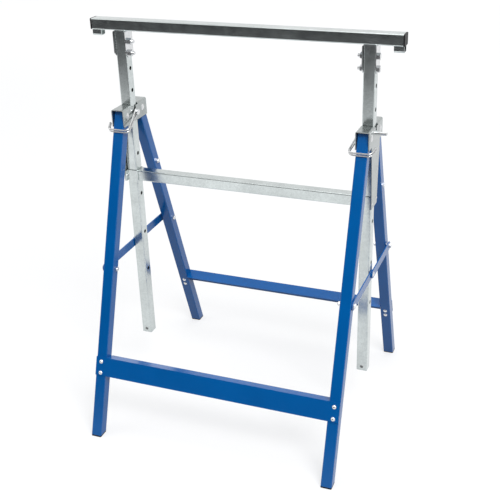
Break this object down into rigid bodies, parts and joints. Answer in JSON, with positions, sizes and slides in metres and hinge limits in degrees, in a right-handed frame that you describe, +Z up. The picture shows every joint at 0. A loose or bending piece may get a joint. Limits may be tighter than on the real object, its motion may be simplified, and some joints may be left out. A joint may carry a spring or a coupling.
{
  "type": "builders trestle",
  "caption": "Folding telescopic trestle: a square-tube steel beam on pinned sliding posts, carried by splayed blue tube legs with cross rails and folding side stays.",
  "frame": {"origin": "on the floor under the middle of the beam", "axes": "+X along the beam to the right, +Y to the back, +Z up"},
  "size_m": [0.7, 0.5966, 0.909],
  "materials": {
    "galvanised": "bright galvanised sheet and tube, softly mottled",
    "zinc": "bright zinc plating",
    "blue_paint": "glossy enamel",
    "black_plastic": "moulded, matte"
  },
  "bodies": {
    "lift": {"beam": "galvanised", "beam_end_caps": "black_plastic", "beam_lugs": "galvanised", "left_saddle": "zinc", "right_saddle": "zinc", "saddle_bolts": "zinc", "left_post": "galvanised", "right_post": "galvanised", "post_stops": "galvanised"},
    "left_lock": {"left_pin": "zinc", "left_bail": "zinc"},
    "right_lock": {"right_pin": "zinc", "right_bail": "zinc"},
    "head": {"left_head_cap": "galvanised", "right_head_cap": "galvanised", "leg_pivots": "zinc", "left_guide": "galvanised", "right_guide": "galvanised", "guide_rivets": "zinc", "mid_rail": "galvanised"},
    "front_frame": {"left_front_leg": "blue_paint", "right_front_leg": "blue_paint", "front_rail": "blue_paint", "front_rail_bolts": "zinc", "front_feet": "black_plastic", "front_stay_bolts": "zinc"},
    "rear_frame": {"left_rear_leg": "blue_paint", "right_rear_leg": "blue_paint", "rear_rail": "blue_paint", "rear_rail_bolts": "zinc", "rear_feet": "black_plastic", "rear_stay_bolts": "zinc", "rear_leg_bolts": "zinc"},
    "left_front_stay": {"left_front_stay": "blue_paint"},
    "right_front_stay": {"right_front_stay": "blue_paint"},
    "left_rear_stay": {"left_rear_stay": "blue_paint", "left_knuckle": "zinc"},
    "right_rear_stay": {"right_rear_stay": "blue_paint", "right_knuckle": "zinc"}
  },
  "joints": [
    {"name": "front_fold", "type": "hinge", "parent": "head", "child": "front_frame", "pos_m": [0, -0.036, 0.7], "axis": [1, 0, 0], "range_deg": [0, 19.58]},
    {"name": "rear_fold", "type": "hinge", "parent": "head", "child": "rear_frame", "pos_m": [0, 0.036, 0.7], "axis": [1, 0, 0], "range_deg": [-19.58, 0]},
    {"name": "lift_slide", "type": "slide", "parent": "head", "child": "lift", "axis": [0, 0, 1], "range_m": [0, 0.4]},
    {"name": "left_front_stay_hinge", "type": "hinge", "parent": "front_frame", "child": "left_front_stay", "pos_m": [-0.28, -0.15267, 0.372], "axis": [1, 0, 0], "range_deg": [0, 56.83]},
    {"name": "left_rear_stay_hinge", "type": "hinge", "parent": "rear_frame", "child": "left_rear_stay", "pos_m": [-0.28, 0.15267, 0.372], "axis": [1, 0, 0], "range_deg": [-56.83, 0]},
    {"name": "left_lock_swing", "type": "hinge", "parent": "lift", "child": "left_lock", "pos_m": [-0.28, 0, 0.7], "axis": [-1, 0, 0], "range_deg": [0, 95]},
    {"name": "right_front_stay_hinge", "type": "hinge", "parent": "front_frame", "child": "right_front_stay", "pos_m": [0.28, -0.15267, 0.372], "axis": [1, 0, 0], "range_deg": [0, 56.83]},
    {"name": "right_rear_stay_hinge", "type": "hinge", "parent": "rear_frame", "child": "right_rear_stay", "pos_m": [0.28, 0.15267, 0.372], "axis": [1, 0, 0], "range_deg": [-56.83, 0]},
    {"name": "right_lock_swing", "type": "hinge", "parent": "lift", "child": "right_lock", "pos_m": [0.28, 0, 0.7], "axis": [-1, 0, 0], "range_deg": [0, 95]}
  ],
  "couplings": [
    {"joint": "rear_fold", "follows": "front_fold", "ratio": -1},
    {"joint": "left_front_stay_hinge", "follows": "front_fold", "ratio": 2.8997},
    {"joint": "left_rear_stay_hinge", "follows": "front_fold", "ratio": -2.8997},
    {"joint": "right_front_stay_hinge", "follows": "front_fold", "ratio": 2.8997},
    {"joint": "right_rear_stay_hinge", "follows": "front_fold", "ratio": -2.8997}
  ]
}
